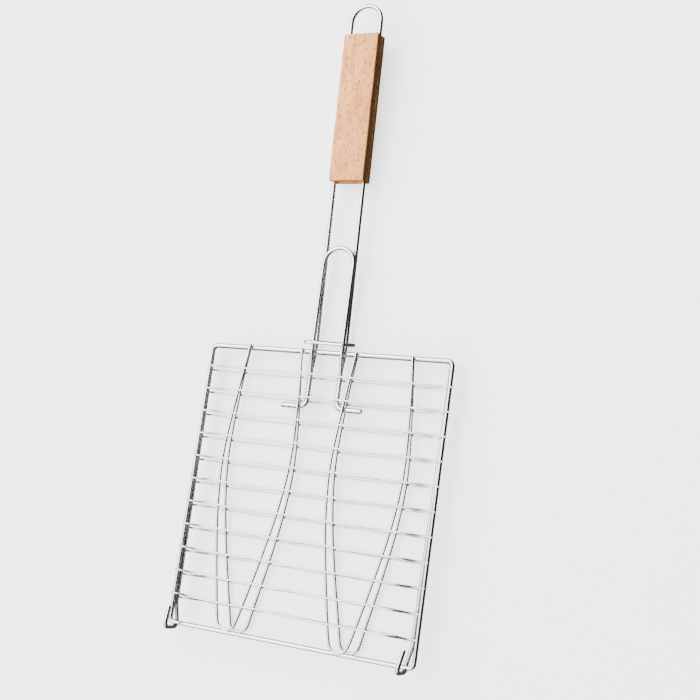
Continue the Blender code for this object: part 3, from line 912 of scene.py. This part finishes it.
RIB_INSET = 1
RIB_SUNK = 1
inner = GRIP_GAP / 2
outer = inner + GRIP_SLAB
half = GRIP_WIDTH / 2
length = GRIP_LENGTH / 2
front_slab = box_add("grip_front_slab", (-half, -length, inner), (half, length, outer))
round_edges(front_slab, GRIP_SIDE, GRIP_ROUNDS)
back_slab = box_add("grip_back_slab", (-half, -length, -outer), (half, length, -inner))
round_edges(back_slab, GRIP_SIDE, GRIP_ROUNDS)
rib_low = (-GRIP_RIB_HALF, -length + RIB_INSET, -inner - RIB_SUNK)
rib_high = (GRIP_RIB_HALF, length - RIB_INSET, inner - GRIP_CLEARANCE)
rib = box_add("rib", rib_low, rib_high)
boolean(back_slab, rib, "UNION")

screw_ys = (-length + SCREW_INSET, length - SCREW_INSET)
HEAD_SIDES = 40
HEAD_SINK = 2.4
SINK_RIM = 0.35       # the sink is this much wider than the head all round
SINK_FOOT = 1.7       # its radius at the bottom
SINK_OUT = 0.02       # it starts a hair outside the face, so that the cut is clean
for y in screw_ys:
    deselect()
    bpy.ops.mesh.primitive_cone_add(vertices=HEAD_SIDES, radius1=(SCREW_HEAD / 2 + SINK_RIM) * MM,
                                    radius2=SINK_FOOT * MM, depth=HEAD_SINK * MM,
                                    location=(0, y * MM, (-outer + HEAD_SINK / 2 - SINK_OUT) * MM))
    boolean(back_slab, bpy.context.object, "DIFFERENCE")
for ob, node in ((front_slab, "grip_slab_front"), (back_slab, "grip_slab_back")):
    ob.data.transform(GRIP_TO_FLOOR)
    select_only(ob)
    bpy.ops.object.shade_smooth_by_angle(angle=SLAB_SMOOTH)
    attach(ob, "back_leaf")
    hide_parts(node)
print("slab faces:", len(front_slab.data.polygons), len(back_slab.data.polygons))

# %% [markdown]
# A screw's countersunk head lies just below the wood's back face, with a cross cut into it.

# %% Screws
CROSS_LONG = 4.2
CROSS_WIDE = 0.95
CROSS_DEEP = 1.1
HEAD_UNDER = 0.3      # the head lies this far under the wood's face
HEAD_TALL = 2.2
SHANK_RADIUS = 1.5
SHANK_LONG = 10.0
SHANK_MIDDLE = 7.0    # from the head's face to the middle of the shank
SLOT_OUT = 1
for k, y in enumerate(screw_ys):
    deselect()
    back_face = -outer + HEAD_UNDER
    bpy.ops.mesh.primitive_cylinder_add(vertices=HEAD_SIDES, radius=SHANK_RADIUS * MM, depth=SHANK_LONG * MM,
                                        location=(0, y * MM, (back_face + SHANK_MIDDLE) * MM))
    screw = bpy.context.object
    screw.name = "grip_screw_piece_%d" % (k + 1)
    bpy.ops.mesh.primitive_cone_add(vertices=HEAD_SIDES, radius1=SCREW_HEAD / 2 * MM,
                                    radius2=SHANK_RADIUS * MM, depth=HEAD_TALL * MM,
                                    location=(0, y * MM, (back_face + HEAD_TALL / 2) * MM))
    head = bpy.context.object
    screw.data.transform(screw.matrix_world)
    screw.matrix_world = Matrix.Identity(4)
    boolean(screw, head, "UNION")
    for wide, tall in ((CROSS_LONG, CROSS_WIDE), (CROSS_WIDE, CROSS_LONG)):
        slot_low = (-wide / 2, y - tall / 2, back_face - SLOT_OUT)
        slot = box_add("slot", slot_low, (wide / 2, y + tall / 2, back_face + CROSS_DEEP))
        boolean(screw, slot, "DIFFERENCE")
    screw.data.transform(GRIP_TO_FLOOR)
    select_only(screw)
    bpy.ops.object.shade_smooth_by_angle(angle=SLAB_SMOOTH)
    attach(screw, "back_leaf")
    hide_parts("grip_screw_%d" % (k + 1))
    finish_with(screw, screw_metal)
print("screws:", len(screw_ys))

# %% [markdown]
# The wood is pale, pinkish, straight grained and full of short darker flecks, the pores. Broad bands of
# tone follow the growth rings, slowly wandering along the grip. The grain runs along the handle, so the
# pattern is stretched along that axis.

# %% Finish group: grain
grain_group, grain_in, grain_out = new_group(
    "beech_grain",
    [("Band", 0.6), ("Fleck", 0.6), ("Tone", 0.5)],
    [("Color", "NodeSocketColor"), ("Roughness", "NodeSocketFloat"), ("Height", "NodeSocketFloat")],
)
WOOD_LIGHT = (1.0, 0.43, 0.080, 1.0)
WOOD_WARM = (0.72, 0.19, 0.020, 1.0)
WOOD_PALE = (1.0, 0.47, 0.14, 1.0)
WOOD_FLECK = (0.20, 0.04, 0.006, 1.0)
place = grain_group.nodes.new("ShaderNodeTexCoord").outputs["Object"]


def stretched(tree, vector, scale):
    """The same places, squeezed by a scale for each direction."""
    mapping = tree.nodes.new("ShaderNodeMapping")
    mapping.vector_type = "POINT"
    mapping.inputs["Scale"].default_value = scale
    tree.links.new(vector, mapping.inputs["Vector"])
    return mapping.outputs["Vector"]


def ramp_node(tree, value, low, high):
    """0 below low and 1 above high."""
    node = tree.nodes.new("ShaderNodeMapRange")
    node.inputs["From Min"].default_value = low
    node.inputs["From Max"].default_value = high
    tree.links.new(value, node.inputs["Value"])
    return node.outputs["Result"]


# Each pattern: its scale across, along and through the grip, per metre; its detail; where it sets in.
BANDS = ((110.0, 22.0, 110.0), 2.0, (0.44, 0.66))
FIBRES = ((1400.0, 60.0, 1400.0), 3.0, (0.42, 0.66))
PORES = ((750.0, 260.0, 750.0), 1.0, (0.55, 0.66))
MOTTLE = ((160.0, 60.0, 160.0), 3.0, (0.35, 0.7))
FIBRE_SHARE = 0.55
FLECK_ROUGH = 0.2
WOOD_ROUGHNESS = 0.46
FIBRE_HEIGHT = 0.5


def grain_pattern(pattern, share):
    """A stretched noise, and its share of the colour: none below the first edge, all above the second."""
    scale, detail, edges = pattern
    noise = noise_node(grain_group, stretched(grain_group, place, scale), 1.0, detail)
    return noise, math_node(grain_group, "MULTIPLY", ramp_node(grain_group, noise, *edges), share)


_, band_mask = grain_pattern(BANDS, grain_in.outputs["Band"])
_, fleck_mask = grain_pattern(PORES, grain_in.outputs["Fleck"])
_, tone_mask = grain_pattern(MOTTLE, grain_in.outputs["Tone"])
fibres, fibre_mask = grain_pattern(FIBRES, FIBRE_SHARE)
wood = mix_colour(grain_group, band_mask, WOOD_LIGHT, WOOD_WARM)
wood = mix_colour(grain_group, tone_mask, wood, WOOD_PALE)
wood = mix_colour(grain_group, fibre_mask, wood, WOOD_WARM)
wood = mix_colour(grain_group, fleck_mask, wood, WOOD_FLECK)
rough = math_node(grain_group, "MULTIPLY", fleck_mask, FLECK_ROUGH)
rough = math_node(grain_group, "ADD", rough, WOOD_ROUGHNESS)
relief = math_node(grain_group, "MULTIPLY", fibres, FIBRE_HEIGHT)
relief = math_node(grain_group, "SUBTRACT", relief, fleck_mask)
grain_group.links.new(wood, grain_out.inputs["Color"])
grain_group.links.new(rough, grain_out.inputs["Roughness"])
grain_group.links.new(relief, grain_out.inputs["Height"])
print("group beech_grain has", len(grain_group.nodes), "nodes")


# %% Wood material
GRAIN_STRENGTH = 0.35
GRAIN_DEPTH = 0.00015


def wood_material(name, band, fleck, tone):
    mat = bpy.data.materials.new(name)
    mat.use_nodes = True
    tree = mat.node_tree
    shader = tree.nodes["Principled BSDF"]
    grain = tree.nodes.new("ShaderNodeGroup")
    grain.node_tree = grain_group
    grain.inputs["Band"].default_value = band
    grain.inputs["Fleck"].default_value = fleck
    grain.inputs["Tone"].default_value = tone
    bump = tree.nodes.new("ShaderNodeBump")
    bump.inputs["Strength"].default_value = GRAIN_STRENGTH
    bump.inputs["Distance"].default_value = GRAIN_DEPTH
    tree.links.new(grain.outputs["Color"], shader.inputs["Base Color"])
    tree.links.new(grain.outputs["Roughness"], shader.inputs["Roughness"])
    tree.links.new(grain.outputs["Height"], bump.inputs["Height"])
    tree.links.new(bump.outputs["Normal"], shader.inputs["Normal"])
    return mat


beech = wood_material("beech", 0.95, 0.65, 0.6)
for ob in (front_slab, back_slab):
    finish_with(ob, beech)
print("wood pieces: 2")
